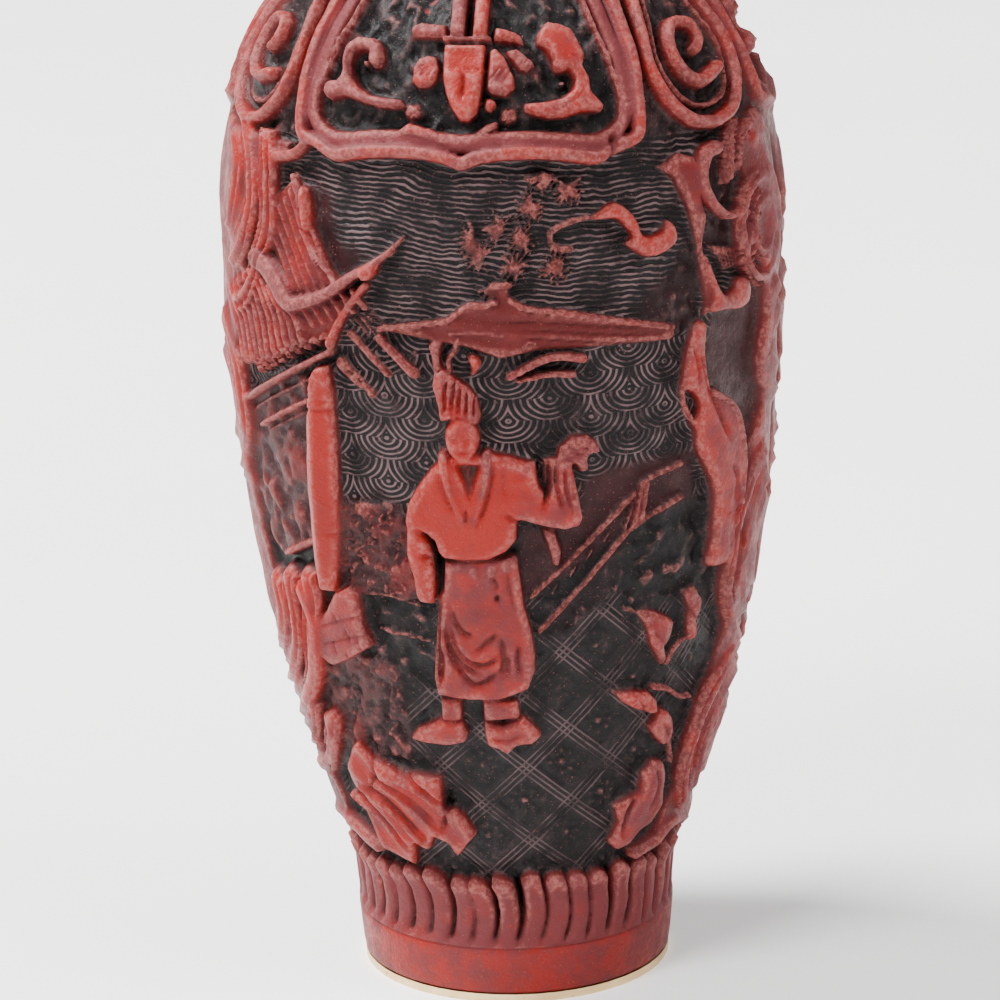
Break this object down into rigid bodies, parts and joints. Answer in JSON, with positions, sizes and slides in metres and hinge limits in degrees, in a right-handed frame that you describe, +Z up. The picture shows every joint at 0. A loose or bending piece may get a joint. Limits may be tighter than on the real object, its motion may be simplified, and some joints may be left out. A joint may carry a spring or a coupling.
{
  "type": "snuff bottle",
  "caption": "Round carved red and black lacquer snuff bottle with a figure scene, shaped shoulder panels, a brass foot rim and a corked stopper.",
  "frame": {"origin": "centre of the underside, on the surface that the bottle stands on", "axes": "+Z up the bottle to the stopper, -Y to the front of the figure scene, +X to the viewer's right"},
  "size_m": [0.0306, 0.0306, 0.0711],
  "materials": {
    "carved_lacquer": "carved and polished red lacquer over black, dull and dusty in the cuts",
    "foot_brass": "satin, a little worn",
    "stopper_lacquer": "polished red lacquer",
    "cork": "matt cork"
  },
  "bodies": {
    "root": {"bottle_body": "carved_lacquer", "foot_rim": "foot_brass", "stopper_cap": "stopper_lacquer", "stopper_cork": "cork"}
  },
  "joints": []
}
